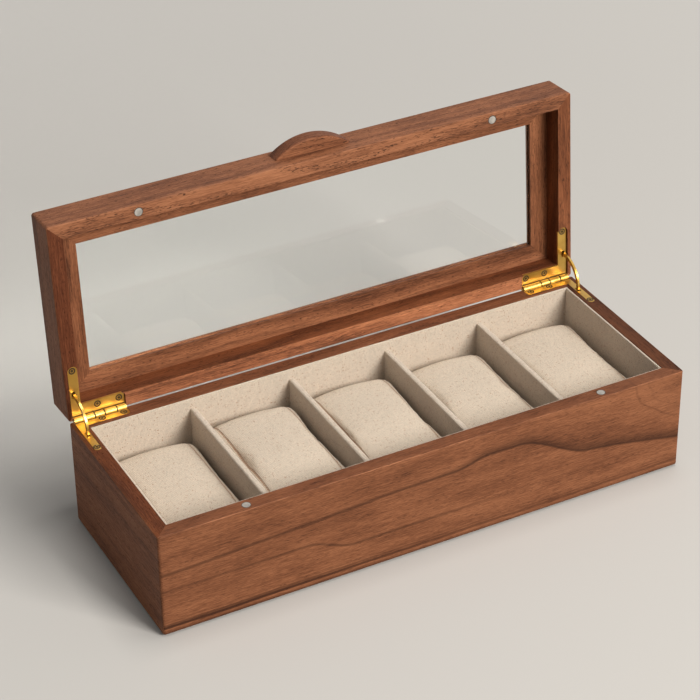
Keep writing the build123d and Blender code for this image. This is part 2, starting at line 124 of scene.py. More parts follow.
# The camera that was solved from the photograph: azimuth, elevation and roll in degrees, place in
# metres, and focal length and picture width in pixels
CAMERA_ANGLES = (-27.437, 32.827, -0.739)
CAMERA_PLACE = (-0.52526, -0.97588, 0.81019)
FOCAL_PIXELS = 2434.61
PICTURE_PIXELS = 700
SENSOR_WIDTH = 36.0


def colour(red, green, blue):
    """A screen colour of 0 to 255 as the linear colour that a shader takes."""
    def linear(level):
        share = level / 255
        return share / 12.92 if share <= 0.04045 else ((share + 0.055) / 1.055) ** 2.4

    return (linear(red), linear(green), linear(blue))


def colour_property(name, description, red, green, blue):
    """A colour setting with its default."""
    return FloatVectorProperty(
        name=name,
        description=description,
        subtype="COLOR",
        size=3,
        min=0,
        max=1,
        default=colour(red, green, blue),
    )


def size_property(name, description, default):
    """A size setting in millimetres with its default."""
    return FloatProperty(name=name, description=description, default=default, min=0.01)


class WalnutSettings(bpy.types.PropertyGroup):
    light: colour_property("Light grain", "Palest wood between the growth lines", 163, 107, 74)
    middle: colour_property("Middle grain", "Most of the board", 127, 79, 53)
    dark: colour_property("Dark grain", "Growth lines", 78, 46, 31)
    pore: colour_property("Pores", "Short dark pores along the grain", 46, 26, 18)
    line_spacing: size_property("Line spacing", "Broad growth bands, in millimetres", 9.0)
    fibre_width: size_property("Fibre width", "Width of a fibre, in millimetres", 0.5)


class LinenSettings(bpy.types.PropertyGroup):
    cushion: colour_property("Cushion linen", "Linen of the cushions", 220, 204, 184)
    lining: colour_property("Lining linen", "Linen of the lining and dividers", 218, 203, 185)
    # This colour draws the yarn's darker flecks, and also the painted shade in the cushions' seams.
    fleck_and_seam_shade: colour_property("Flecks", "Darker fibres in the yarn", 150, 106, 74)
    thread: size_property("Thread pitch", "Distance from thread to thread, in millimetres", 0.7)
    seam_inset: size_property("Seam inset", "Seam's distance from the side, in millimetres", 4.6)


class MetalSettings(bpy.types.PropertyGroup):
    brass: colour_property("Brass", "Polished brass of the hinges", 208, 167, 80)
    brass_dark: colour_property("Aged brass", "Brass that touch has darkened", 184, 141, 58)
    # The joint colour is painted shade in the brass's slots, knuckle gaps, screw rings and where the
    # barrel meets a leaf; it also draws the dark edge round a magnet.
    joint: colour_property("Brass joints", "Darkened brass in slots and gaps", 40, 25, 10)
    nickel: colour_property("Nickel", "Satin plate of the magnets", 186, 181, 173)


class StageSettings(bpy.types.PropertyGroup):
    floor: colour_property("Floor", "Pale floor", 222, 219, 214)
    key_power: FloatProperty(
        name="Key lamp", description="Power of the key lamp", default=74.0, unit="POWER"
    )
    top_power: FloatProperty(
        name="Top lamp", description="Power of the lamp overhead", default=27.0, unit="POWER"
    )
    ambient: FloatProperty(
        name="Ambient", description="Level of the light from all round", default=0.27
    )


class Value:
    """One value in a material. Sums on it add Math nodes."""

    def __init__(self, recipe, socket):
        self.recipe = recipe
        self.socket = socket

    def sum_of(self, operation, first, second=0.0):
        return self.recipe.node("ShaderNodeMath", {"operation": operation}, {0: first, 1: second})

    def __add__(self, other):
        return self.sum_of("ADD", self, other)

    def __radd__(self, other):
        return self.sum_of("ADD", other, self)

    def __sub__(self, other):
        return self.sum_of("SUBTRACT", self, other)

    def __rsub__(self, other):
        return self.sum_of("SUBTRACT", other, self)

    def __mul__(self, other):
        return self.sum_of("MULTIPLY", self, other)

    def __rmul__(self, other):
        return self.sum_of("MULTIPLY", other, self)

    def __truediv__(self, other):
        return self.sum_of("DIVIDE", self, other)

    def __abs__(self):
        return self.sum_of("ABSOLUTE", self)

    def least(self, other):
        return self.sum_of("MINIMUM", self, other)

    def most(self, other):
        return self.sum_of("MAXIMUM", self, other)

    def sine(self):
        return self.sum_of("SINE", self)

    def root(self):
        return self.sum_of("SQRT", self)

    def floored(self):
        return self.sum_of("FLOOR", self)


class Recipe:
    """A material or a world that is being written."""

    def __init__(self, name, world=False):
        kinds = bpy.data.worlds if world else bpy.data.materials
        self.material = kinds.new(name)
        self.material.use_nodes = True
        self.tree = self.material.node_tree
        self.shader = self.first_of("BSDF_PRINCIPLED", "BACKGROUND")
        self.output = self.first_of("OUTPUT_MATERIAL", "OUTPUT_WORLD")

    def first_of(self, *kinds):
        """The first node of any of these kinds."""
        return next(node for node in self.tree.nodes if node.type in kinds)

    def node(self, kind, settings=None, inputs=None, output=0):
        """Adds a node of a kind, sets its settings first and then its sockets."""
        made = self.tree.nodes.new(kind)
        for name, setting in (settings or {}).items():
            if name == "stops":
                self.set_stops(made.color_ramp, setting)
            else:
                setattr(made, name, setting)
        for socket, given in (inputs or {}).items():
            self.feed(made.inputs[socket], given)
        return Value(self, made.outputs[output])

    def set_stops(self, ramp, stops):
        """Gives a colour ramp its stops, each a place and a colour."""
        while len(ramp.elements) < len(stops):
            ramp.elements.new(1.0)
        for element, (place, tint) in zip(ramp.elements, stops):
            element.position = place
            element.color = (*tint, 1.0)

    def feed(self, socket, given):
        """Links a value to a socket or sets the socket."""
        if isinstance(given, Value):
            self.tree.links.new(given.socket, socket)
        elif isinstance(given, (tuple, list)) and len(socket.default_value) == 4:
            socket.default_value = (*given, 1.0)
        else:
            socket.default_value = given

    def finish(self, **sockets):
        """Feeds the main shader's sockets by name and returns the material."""
        for name, given in sockets.items():
            self.feed(self.shader.inputs[name.replace("_", " ")], given)
        return self.material

    def place(self, swing=False):
        """Object coordinates in millimetres, with the lid swung shut where asked."""
        here = self.node("ShaderNodeTexCoord", output="Object")
        if swing:
            turn = Matrix.Rotation(OPEN_ANGLE, 4, "X")
            shift = HINGE_AXIS - turn @ HINGE_AXIS
            here = self.node(
                "ShaderNodeMapping",
                {"vector_type": "POINT"},
                {"Vector": here, "Rotation": (OPEN_ANGLE, 0, 0), "Location": tuple(shift)},
            )
        return self.vector("SCALE", here, scale=1 / MM)

    def vector(self, operation, first, second=(0.0, 0.0, 0.0), scale=1.0):
        return self.node(
            "ShaderNodeVectorMath",
            {"operation": operation},
            {0: first, 1: second, 3: scale},
        )

    def parts(self, vector):
        return [self.node("ShaderNodeSeparateXYZ", None, {0: vector}, axis) for axis in range(3)]

    def joined(self, x, y, z):
        return self.node("ShaderNodeCombineXYZ", None, {0: x, 1: y, 2: z})

    def noise(self, vector, detail=2.0, roughness=0.5):
        """Cloudy noise of period one, from 0 to 1."""
        return self.node(
            "ShaderNodeTexNoise",
            {"noise_dimensions": "3D"},
            {"Vector": vector, "Scale": 1.0, "Detail": detail, "Roughness": roughness},
        )

    def lines(self, along, detail=2.0, roughness=0.5):
        """Noise along one value only."""
        return self.node(
            "ShaderNodeTexNoise",
            {"noise_dimensions": "1D"},
            {"W": along, "Scale": 1.0, "Detail": detail, "Roughness": roughness},
        )

    def smooth(self, value, low, high, to_low=0.0, to_high=1.0):
        """Rises smoothly from one level to the other as the value goes from low to high."""
        return self.node(
            "ShaderNodeMapRange",
            {"interpolation_type": "SMOOTHSTEP"},
            {
                "Value": value,
                "From Min": low,
                "From Max": high,
                "To Min": to_low,
                "To Max": to_high,
            },
        )

    def mixed(self, share, first, second, blend="MIX"):
        return self.node(
            "ShaderNodeMix",
            {"data_type": "RGBA", "blend_type": blend},
            {0: share, 6: first, 7: second},
            output=2,
        )

    def seen_rays(self):
        """One where it is seen, also in gloss or through glass, and zero where it gives light."""
        seen = self.node("ShaderNodeLightPath", output="Is Camera Ray")
        for ray in ("Is Glossy Ray", "Is Transmission Ray"):
            seen = seen.most(self.node("ShaderNodeLightPath", output=ray))
        return seen * (1.0 - self.node("ShaderNodeLightPath", output="Diffuse Depth").least(1.0))

    def bump(self, height, distance, strength=1.0):
        return self.node(
            "ShaderNodeBump",
            None,
            {"Height": height, "Distance": distance * MM, "Strength": strength},
        )


def choose(target):
    """Makes one object the only selected and active one."""
    bpy.ops.object.select_all(action="DESELECT")
    target.select_set(True)
    bpy.context.view_layer.objects.active = target


def coat(node, material):
    """Gives a CAD node its material."""
    slots = NODES[node].data.materials
    slots.clear()
    slots.append(material)


# Which way each kind of board runs: the order of X, Y and Z as along, across and through the board
RUNS = {
    "wide": {"front": (0, 2, 1), "back": (0, 2, 1), "left": (1, 2, 0), "right": (1, 2, 0)},
    "flat": {"front": (0, 1, 2), "back": (0, 1, 2), "left": (1, 0, 2), "right": (1, 0, 2)},
}


def walnut(
    name, run, seed, swing=False, tint=NO_TINT, rim=PLAIN_RIM_TONE_AND_SHADE, figure=None, bands=0.75, pored=0.7
):
    """Oiled walnut with its grain along one board; tints on its rim and faces are partly tone,
    partly painted light and shade.
    """
    settings = bpy.context.scene.walnut
    recipe = Recipe(name)
    xyz = recipe.parts(recipe.place(swing))
    along, across, through = (xyz[index] for index in run)
    offset = (seed * 131.0, seed * 57.0, seed * 23.0)
    here = recipe.vector("ADD", recipe.joined(along, across, through), offset)

    drift = recipe.noise(recipe.vector("MULTIPLY", here, (1 / 190, 1 / 40, 1 / 40)), 1.0)
    sway = recipe.noise(recipe.vector("MULTIPLY", here, (1 / 46, 1 / 16, 1 / 16)), 2.0)
    growth = across + through * 0.55 + (drift - 0.5) * 40.0 + (sway - 0.5) * 4.0

    spacing = settings.line_spacing
    broad = recipe.lines(growth / spacing + seed * 3.7, 1.0)
    close = recipe.lines(growth / (spacing * 0.16) + seed * 5.1, 2.0, 0.6)
    width = settings.fibre_width
    fibre = recipe.noise(recipe.vector("MULTIPLY", here, (1 / 12, 1 / width, 1 / width)), 2.0, 0.6)
    hair = recipe.noise(recipe.vector("MULTIPLY", here, (1 / 4.0, 1 / 0.24, 1 / 0.24)), 1.0)
    patch = recipe.noise(recipe.vector("MULTIPLY", here, (1 / 42, 1 / 11, 1 / 11)), 2.0)
    pore_noise = recipe.noise(recipe.vector("MULTIPLY", here, (1 / 2.2, 1 / 0.36, 1 / 0.36)), 0.0)
    pore_rows = recipe.lines(growth / 1.9 + seed * 7.3, 1.0)

    tone = 0.52 + (broad - 0.5) * bands + (patch - 0.5) * 0.7
    tone = tone + (fibre - 0.5) + (hair - 0.5) * 0.8
    wood = recipe.node(
        "ShaderNodeValToRGB",
        {"stops": [
            (0.1, tuple(settings.dark)),
            (0.46, tuple(settings.middle)),
            (0.9, tuple(settings.light)),
        ]},
        {0: tone},
    )
    grain_line = recipe.smooth(close, 0.56, 0.7) * recipe.smooth(sway, 0.34, 0.6) * 0.5 * bands
    wood = recipe.mixed(grain_line, wood, tuple(settings.dark))
    if figure:
        wood = figure(recipe, wood, along, across, sway, fibre)
    pores = recipe.smooth(pore_noise, 0.6, 0.7) * recipe.smooth(pore_rows, 0.4, 0.62, 0.15, 1.0)
    wood = recipe.mixed(pores * pored, wood, tuple(settings.pore))
    # Painted light and shade: the rim and face tints darken or lighten a board's rim and faces for
    # how light falls on them, besides the wood's own tone.
    facing = recipe.parts(recipe.node("ShaderNodeTexCoord", output="Normal"))
    on_rim = recipe.smooth(abs(facing[1] if swing else facing[2]), 0.75, 0.95)
    wood = recipe.mixed(1.0, wood, recipe.mixed(on_rim, tint, rim), "MULTIPLY")
    height = fibre * 0.35 + hair * 0.25 - pores * 0.9
    return recipe.finish(
        Base_Color=wood,
        Roughness=recipe.smooth(fibre, 0.2, 0.8, 0.56, 0.44) + pores * 0.2,
        Specular_IOR_Level=0.12,
        Normal=recipe.bump(height, 0.05, 0.7),
    )


def front_figure(recipe, wood, along, across, sway, fibre):
    """The figure of the front board: two dark lines, a streaky foot and arcs at the upper right."""
    settings = bpy.context.scene.walnut
    x = along + HALF_LENGTH
    depth = RIM_Z / MM - across + (sway - 0.5) * 1.3
    main_line = (
        recipe.smooth(x, -20.0, 190.0, 25.0, 18.0)
        + recipe.smooth(x, 174.0, 196.0, 0.0, -4.0)
        + recipe.smooth(x, 214.0, 258.0, 0.0, 17.0)
        + recipe.smooth(x, 240.0, 345.0, 0.0, 14.0)
    )
    low_line = recipe.smooth(x, 84.0, 113.0, 35.8, 44.2)
    below = depth - main_line
    strength = recipe.smooth(x, 120.0, 215.0, 0.68, 0.95)
    core = 1.0 - recipe.smooth(abs(below), 0.2, 1.7)
    smoke_reach = recipe.smooth(x, 150.0, 235.0, 3.5, 11.0)
    smoke = 1.0 - recipe.smooth(below * -1.0 / smoke_reach, 0.0, 1.0)
    smoke = smoke * recipe.smooth(below, 1.2, 0.2) * recipe.smooth(x, 60.0, 230.0, 0.4, 0.8)
    stained = (core * strength * (0.55 + fibre * 0.5)).most(smoke * smoke)
    wood = recipe.mixed(stained, wood, tuple(settings.pore))

    low = abs(depth - low_line)
    low_fade = recipe.smooth(x, 20.0, 80.0, 0.3, 0.5) * recipe.smooth(x, 150.0, 215.0, 1.0, 0.25)
    low_share = (1.0 - recipe.smooth(low, 0.15, 1.4)) * low_fade
    wood = recipe.mixed(low_share, wood, tuple(settings.pore))

    streaks = recipe.lines(depth / 1.5 + 3.0, 2.0)
    foot = recipe.smooth(depth, 53.5, 57.5) * recipe.smooth(x, 60.0, 260.0, 0.75, 0.45)
    wood = recipe.mixed(recipe.smooth(streaks, 0.4, 0.62) * foot, wood, tuple(settings.dark))
    band = 1.0 - recipe.smooth(abs(depth - 58.6), 0.6, 1.8)
    wood = recipe.mixed(band * recipe.smooth(x, 30.0, 190.0, 0.6, 0.1), wood, tuple(settings.pore))

    from_x = (x - 330.0) / 40.0
    from_y = (depth + 5.0) / 32.0
    ring = (from_x * from_x + from_y * from_y).root() + (sway - 0.5) * 0.3
    wash = recipe.smooth(ring, 1.25, 0.9) * recipe.smooth(ring, 0.3, 0.8)
    wood = recipe.mixed(wash * 0.3, wood, tuple(settings.light))
    for place, share in ((1.05, 0.26), (0.86, 0.14), (0.66, 0.1)):
        arc = 1.0 - recipe.smooth(abs(ring - place), 0.005, 0.03)
        wood = recipe.mixed(arc * share, wood, tuple(settings.dark))
    return wood


def linen(name, ground, seed, seams=None):
    """Plain-woven linen, laid on each face from the side it faces, with side seams if asked."""
    settings = bpy.context.scene.linen
    recipe = Recipe(name)
    here = recipe.place()
    x, y, z = recipe.parts(here)
    facing = recipe.node("ShaderNodeTexCoord", output="Normal")
    facing_x, facing_y, facing_z = (abs(part) for part in recipe.parts(facing))
    to_side = recipe.smooth(facing_x - facing_z, -0.12, 0.12)
    to_end = recipe.smooth(facing_y - facing_z.most(facing_x), -0.12, 0.12)
    pitch = settings.thread

    def cloth(first, second, place):
        """Height and tone of the weave on one pair of directions."""
        warp_at = first / pitch
        weft_at = second / pitch
        wobble = recipe.noise(recipe.joined(first / 5.0, second / 5.0, seed + place), 1.0) - 0.5
        warp_at = warp_at + wobble * 0.9
        weft_at = weft_at + wobble * 0.7
        warp = (warp_at * math.pi).sine()
        weft = (weft_at * math.pi).sine()
        over = recipe.smooth(warp * weft, -0.25, 0.25)
        warp_round = warp * warp
        weft_round = weft * weft
        height = warp_round * over + weft_round * (1.0 - over)
        warp_place = recipe.joined(warp_at.floored() * 1.7, second / 2.6, seed + place + 3.0)
        weft_place = recipe.joined(first / 2.6, weft_at.floored() * 1.7, seed + place + 7.0)
        warp_yarn = recipe.noise(warp_place, 2.0)
        weft_yarn = recipe.noise(weft_place, 2.0)
        tone = warp_yarn * over + weft_yarn * (1.0 - over)
        return height, tone

    top_height, top_tone = cloth(x, y, 0.0)
    side_height, side_tone = cloth(y, z, 20.0)
    end_height, end_tone = cloth(x, z, 40.0)

    def laid(top, side, end):
        flat = top * (1.0 - to_side) + side * to_side
        return flat * (1.0 - to_end) + end * to_end

    height = laid(top_height, side_height, end_height)
    yarn = laid(top_tone, side_tone, end_tone)
    mottle = recipe.noise(recipe.vector("SCALE", here, scale=1 / 9), 2.0)
    fuzz = recipe.noise(recipe.vector("SCALE", here, scale=1 / 0.7), 1.0, 0.6)
    slubs = recipe.smooth(yarn, 0.585, 0.68)
    # The weave's height term is painted light on the threads' crowns and painted shade between them;
    # the yarn and mottle terms are the linen's own tone.
    tone_and_weave_shade = (yarn - 0.5) * 1.8 + (mottle - 0.5) * 0.2 + (height - 0.5) * 1.3
    deep = tuple(level * 0.62 for level in ground)
    pale = tuple(min(1.0, level * 1.16) for level in ground)
    cloth_colour = recipe.node(
        "ShaderNodeValToRGB",
        {"stops": [(0.1, deep), (0.5, tuple(ground)), (0.9, pale)]},
        {0: 0.5 + tone_and_weave_shade},
    )
    cloth_colour = recipe.mixed(slubs * 0.62, cloth_colour, tuple(settings.fleck_and_seam_shade))
    if seams:
        middle, reach = seams
        # Painted shade in the seam's groove, lighter where a stitch lies over it.
        seam = 1.0 - recipe.smooth(abs(abs(x - middle) - reach), 0.2, 0.7)
        stitch = recipe.smooth(((y + z) * (2 * math.pi / 1.8)).sine(), -0.3, 0.2)
        seam_groove_shade = seam * (0.85 - stitch * 0.4)
        cloth_colour = recipe.mixed(seam_groove_shade, cloth_colour, tuple(settings.fleck_and_seam_shade))
        height = height * (1.0 - seam) + seam * (stitch * 0.7 - 1.6)
    return recipe.finish(
        Base_Color=cloth_colour,
        Roughness=0.92,
        Specular_IOR_Level=0.2,
        Sheen_Weight=0.12,
        Sheen_Roughness=0.5,
        Normal=recipe.bump(height + fuzz * 0.5, 0.14, 0.9),
    )


def screw_places(node, swing, into):
    """Middles of a node's three screws and the level of their heads, with the lid swung shut."""
    shut = Matrix.Identity(4)
    if swing:
        turn = Matrix.Rotation(OPEN_ANGLE, 4, "X")
        shut = Matrix.Translation(HINGE_AXIS) @ turn @ Matrix.Translation(-HINGE_AXIS)
    groups = []
    for point in NODES[node].data.vertices:
        place = (shut @ point.co) / MM
        near = [group for group in groups if (group[0] - place).length < SCREW_REACH]
        if near:
            near[0].append(place)
        else:
            groups.append([place])
    middles = []
    for group in groups:
        low = [min(place[axis] for place in group) for axis in range(3)]
        high = [max(place[axis] for place in group) for axis in range(3)]
        middles.append([(low[axis] + high[axis]) / 2 for axis in range(3)])
        level = low[2] if into > 0 else high[2]
    return middles, (into, level)


def brass(name, seed, shine, swing=False, screws=(), ring=LEAF_SHADE_RING, gaps=(), face=None):
    """Polished brass with random aged patches, and painted shade round the screws, where the barrel
    meets the leaf, between the knuckles and in the slots.
    """
    settings = bpy.context.scene.metal
    recipe = Recipe(name)
    here = recipe.place(swing)
    x, y, z = recipe.parts(here)
    moved = recipe.vector("ADD", here, (seed * 11.0, seed * 7.0, seed * 5.0))
    cloud = recipe.noise(recipe.vector("SCALE", moved, scale=1 / 7), 2.0, 0.5)
    scratch = recipe.noise(recipe.vector("MULTIPLY", moved, (1 / 6, 1 / 0.3, 1 / 0.3)), 2.0)
    aged = recipe.smooth(cloud, 0.35, 0.75, 0.0, 0.7)
    metal = recipe.mixed(aged, tuple(settings.brass), tuple(settings.brass_dark))
    # Dark spots at random are the brass's own tarnish; the marks below add painted shade to the same
    # mask.
    dark = recipe.smooth(cloud, 0.68, 0.8, 0.0, 0.25)
    # Painted shade: a dark ring round each screw where its countersink shades it, and on a head a
    # dark middle where its slot shades it.
    for middle in screws:
        off_x = x - middle[0]
        off_y = y - middle[1]
        radius = (off_x * off_x + off_y * off_y).root()
        inner, outer = ring
        rim = recipe.smooth(radius, inner - 0.2, inner)
        rim = rim * (1.0 - recipe.smooth(radius, outer - 0.15, outer))
        dark = dark.most(rim * 0.95)
        if face:
            dark = dark.most((1.0 - recipe.smooth(radius, 0.55, 1.15)) * 0.95)
    if gaps:
        # Painted shade where the barrel meets the leaf, and in the gaps between the knuckles.
        from_end = HALF_LENGTH - LEAF_END - abs(x)
        off_y = y - HINGE_AXIS.y / MM
        off_z = z - HINGE_AXIS.z / MM
        from_axis = (off_y * off_y + off_z * off_z).root()
        on_barrel = 1.0 - recipe.smooth(from_axis, 2.1, 2.4)
        foot = recipe.smooth(from_axis, 1.98, 2.12) * (1.0 - recipe.smooth(from_axis, 2.4, 3.0))
        dark = dark.most(foot * 0.75)
        place = 0.0
        for length in gaps:
            place = place + length
            gap_shade = 1.0 - recipe.smooth(abs(from_end - place), 0.26, 0.5)
            dark = dark.most(gap_shade * on_barrel * 0.85)
    # Painted shade on a screw's parts below the face of its head, in the slot and countersink.
    if face:
        into, level = face
        dark = dark.most(recipe.smooth((z - level) * into, 0.06, 0.14) * 0.9)
    return recipe.finish(
        Base_Color=recipe.mixed(dark, metal, tuple(settings.joint)),
        Metallic=recipe.smooth(dark, 0.0, 1.0, 0.9, 0.3),
        Roughness=recipe.smooth(scratch, 0.3, 0.8, shine, shine + 0.06) + dark * 0.3,
        Coat_Weight=0.35 - dark * 0.35,
        Coat_Roughness=0.1,
    )


def nickel(name, node):
    """Satin nickel plate with a dark edge round a magnet."""
    settings = bpy.context.scene.metal
    recipe = Recipe(name)
    here = recipe.place()
    grain = recipe.noise(recipe.vector("SCALE", here, scale=1 / 0.5), 3.0, 0.6)
    cloud = recipe.noise(recipe.vector("SCALE", here, scale=1 / 3), 2.0)
    dull = tuple(level * 0.7 for level in settings.nickel)
    low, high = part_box(node)
    off = recipe.vector("SUBTRACT", here, tuple((low + high) / 2 / MM))
    reach = (high.x - low.x) / 2 / MM
    off_x, off_y, off_z = recipe.parts(off)
    radius = (off_x * off_x + (off_z * off_z if "lid" in node else off_y * off_y)).root()
    edge = recipe.smooth(radius, reach - 0.45, reach - 0.2)
    plate = recipe.mixed(recipe.smooth(cloud, 0.35, 0.7), tuple(settings.nickel), dull)
    return recipe.finish(
        Base_Color=recipe.mixed(edge * 0.85, plate, tuple(settings.joint)),
        Metallic=0.85,
        Roughness=recipe.smooth(grain, 0.2, 0.8, 0.38, 0.55),
        Normal=recipe.bump(grain, 0.02, 0.5),
    )


def felt(name):
    """Short dark felt."""
    recipe = Recipe(name)
    here = recipe.place()
    nap = recipe.noise(recipe.vector("SCALE", here, scale=1 / 0.6), 3.0, 0.7)
    cloud = recipe.noise(recipe.vector("SCALE", here, scale=1 / 14), 2.0)
    share = nap * 0.7 + cloud * 0.3
    return recipe.finish(
        Base_Color=recipe.mixed(share, colour(58, 42, 34), colour(98, 74, 60)),
        Roughness=0.95,
        Specular_IOR_Level=0.1,
        Sheen_Weight=0.3,
        Normal=recipe.bump(nap, 0.2, 0.9),
    )


def clear_glass(name):
    """Clear glass that lets the lamps through."""
    recipe = Recipe(name)
    here = recipe.place(True)
    smudge = recipe.noise(recipe.vector("SCALE", here, scale=1 / 60), 2.0)
    recipe.finish(
        Base_Color=(0.97, 0.985, 0.98),
        Roughness=recipe.smooth(smudge, 0.45, 0.75, 0.0, 0.03),
        IOR=1.45,
        Transmission_Weight=1.0,
    )
    lamp_ray = recipe.node("ShaderNodeLightPath", output="Is Shadow Ray")
    open_air = recipe.node("ShaderNodeBsdfTransparent", None, {0: (0.94, 0.96, 0.95)})
    pane = Value(recipe, recipe.shader.outputs[0])
    both = recipe.node("ShaderNodeMixShader", None, {0: lamp_ray, 1: pane, 2: open_air})
    recipe.feed(recipe.output.inputs["Surface"], both)
    return recipe.material


class WATCHBOX_OT_case(bpy.types.Operator):
    """Walnut on the four case boards and on the bottom panel"""

    bl_idname = "watchbox.case"
    bl_label = "Case boards"

    def execute(self, context):
        for seed, side in enumerate(SIDES, 1):
            run = RUNS["wide"][side]
            rim = CASE_RIM_TONES_AND_SHADES.get(side, PLAIN_RIM_TONE_AND_SHADE)
            if side == "front":
                looks = {"figure": front_figure, "bands": 0.3, "pored": 0.4}
                wood = walnut("walnut wall front", run, seed, rim=rim, **looks)
            else:
                wood = walnut(f"walnut wall {side}", run, seed, rim=rim)
            coat(f"wall_{side}", wood)
        panel = walnut("walnut bottom panel", RUNS["flat"]["front"], 6, tint=PANEL_TINT)
        coat("base_panel", panel)
        return {"FINISHED"}


class WATCHBOX_OT_lid(bpy.types.Operator):
    """Walnut on the lid's rails, the glass frame and the pull tab"""

    bl_idname = "watchbox.lid"
    bl_label = "Lid frame and pull tab"

    def execute(self, context):
        for seed, side in enumerate(SIDES, 11):
            tint = LID_RAIL_SHADES.get(side, NO_TINT)
            pored = 0.85 if side == "front" else 0.7
            run = RUNS["wide"][side]
            name = f"walnut lid rail {side}"
            rail = walnut(name, run, seed, True, tint, LID_RIM_LIGHT_AND_SHADE[side], pored=pored)
            coat(f"lid_rail_{side}", rail)
        for seed, side in enumerate(SIDES, 21):
            name = f"walnut glass frame {side}"
            strip = walnut(name, RUNS["flat"][side], seed, True, rim=NO_TINT)
            coat(f"glass_frame_{side}", strip)
        run = RUNS["flat"]["front"]
        tab = walnut("walnut pull tab", run, 31, True, TAB_TINT, TAB_RIM, pored=0.8)
        coat("pull_tab", tab)
        return {"FINISHED"}


class WATCHBOX_OT_lining(bpy.types.Operator):
    """Linen on the liners and dividers"""

    bl_idname = "watchbox.lining"
    bl_label = "Lining and dividers"

    def execute(self, context):
        ground = tuple(context.scene.linen.lining)
        for seed, side in enumerate(SIDES, 1):
            coat(f"liner_{side}", linen(f"linen liner {side}", ground, seed))
        coat("liner_floor", linen("linen floor", ground, 6))
        for index in range(1, CUSHIONS):
            coat(f"divider_{index}", linen(f"linen divider {index}", ground, 10 + index))
        return {"FINISHED"}


def form_cushion(index):
    """A remeshed copy of the cushion's solid, for the filling to swell."""
    source = NODES[f"cushion_{index}"]
    cushion = bpy.data.objects.new(f"linen_cushion_{index}", source.data.copy())
    bpy.context.scene.collection.objects.link(cushion)
    choose(cushion)
    bpy.ops.object.mode_set(mode="EDIT")
    bpy.ops.mesh.select_all(action="SELECT")
    bpy.ops.mesh.remove_doubles(threshold=0.00002)
    bpy.ops.object.mode_set(mode="OBJECT")
    cushion.data.remesh_voxel_size = CUSHION_GRAIN * MM
    bpy.ops.object.voxel_remesh()
    return cushion


def points_of(mesh):
    """The mesh's points as rows."""
    points = np.empty(len(mesh.vertices) * 3)
    mesh.vertices.foreach_get("co", points)
    return points.reshape(-1, 3)


def set_points(mesh, points):
    """Puts the mesh's points where the rows say."""
    mesh.vertices.foreach_set("co", np.asarray(points, np.float32).ravel())
    mesh.update()


def swell(cushion, pressure, cap):
    """Fills the cushion by a cloth simulation, with a cap on how far a point may move."""
    choose(cushion)
    start = points_of(cushion.data)
    bpy.ops.object.modifier_add(type="CLOTH")
    cloth = cushion.modifiers[-1]
    cloth.settings.use_pressure = True
    cloth.settings.uniform_pressure_force = pressure
    cloth.settings.effector_weights.gravity = 0
    cloth.settings.quality = 6
    cloth.settings.tension_stiffness = 18
    cloth.settings.compression_stiffness = 14
    cloth.settings.bending_stiffness = 0.6
    scene = bpy.context.scene
    for moment in range(1, FILLING_FRAMES + 1):
        scene.frame_set(moment)
    bpy.ops.object.modifier_apply(modifier=cloth.name)
    moved = points_of(cushion.data) - start
    length = np.linalg.norm(moved, axis=1, keepdims=True)
    moved *= np.minimum(1.0, cap / np.maximum(length, 1e-9))
    set_points(cushion.data, start + moved)
    scene.frame_set(1)


def sew_cushion(cushion, index):
    """Presses two side seams with small puckers into the cushion, and lets its front sink."""
    low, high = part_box(f"cushion_{index}")
    middle_x = (low.x + high.x) / 2
    half = (high.x - low.x) / 2
    inset = bpy.context.scene.linen.seam_inset * MM
    points = points_of(cushion.data)
    normals = np.empty(len(cushion.data.vertices) * 3)
    cushion.data.vertices.foreach_get("normal", normals)
    normals = normals.reshape(-1, 3)
    away = np.abs(points[:, 0] - middle_x)
    run = (points[:, 1] + points[:, 2]) / MM
    from_seam = (half - inset - away) / MM
    groove = np.exp(-((from_seam / SEAM_REACH) ** 2))
    rng = np.random.default_rng(100 + index)
    phase = rng.uniform(0, 6.28, 3)
    ripple = np.sin(run * 0.95 + phase[0]) * 0.6 + np.sin(run * 0.4 + phase[1]) * 0.4
    pucker = np.exp(-((from_seam / PUCKER_REACH) ** 2)) * ripple
    depth = -SEAM_DEPTH * groove + PUCKER_DEPTH * pucker
    points += normals * depth[:, None] * MM
    to_front = np.clip(((low.y + high.y) / 2 - points[:, 1]) / (high.y - low.y) * 2, 0, 1)
    above = np.clip((points[:, 2] - low.z) / (high.z - low.z), 0, 1)
    points[:, 2] -= FRONT_DROP * MM * to_front**2 * above
    set_points(cushion.data, points)


class WATCHBOX_OT_cushions(bpy.types.Operator):
    """Five padded linen cushions with sewn sides"""

    bl_idname = "watchbox.cushions"
    bl_label = "Cushions"

    def execute(self, context):
        ground = tuple(context.scene.linen.cushion)
        for index in range(1, CUSHIONS + 1):
            cushion = form_cushion(index)
            swell(cushion, FILLING_PRESSURE, SWELL_CAP * MM)
            choose(cushion)
            bpy.ops.object.modifier_add(type="SUBSURF")
            smoother = cushion.modifiers[-1]
            smoother.levels = 1
            smoother.render_levels = 1
            bpy.ops.object.modifier_apply(modifier=smoother.name)
            sew_cushion(cushion, index)
            bpy.ops.object.shade_smooth()
            cushion.data.materials.clear()
            low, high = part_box(f"cushion_{index}")
            middle = (low.x + high.x) / 2 / MM
            reach = (high.x - low.x) / 2 / MM - context.scene.linen.seam_inset
            cover = linen(f"linen cushion {index}", ground, 30 + index, (middle, reach))
            cushion.data.materials.append(cover)
            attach(cushion, f"cushion_{index}")
            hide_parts(f"cushion_{index}")
        return {"FINISHED"}


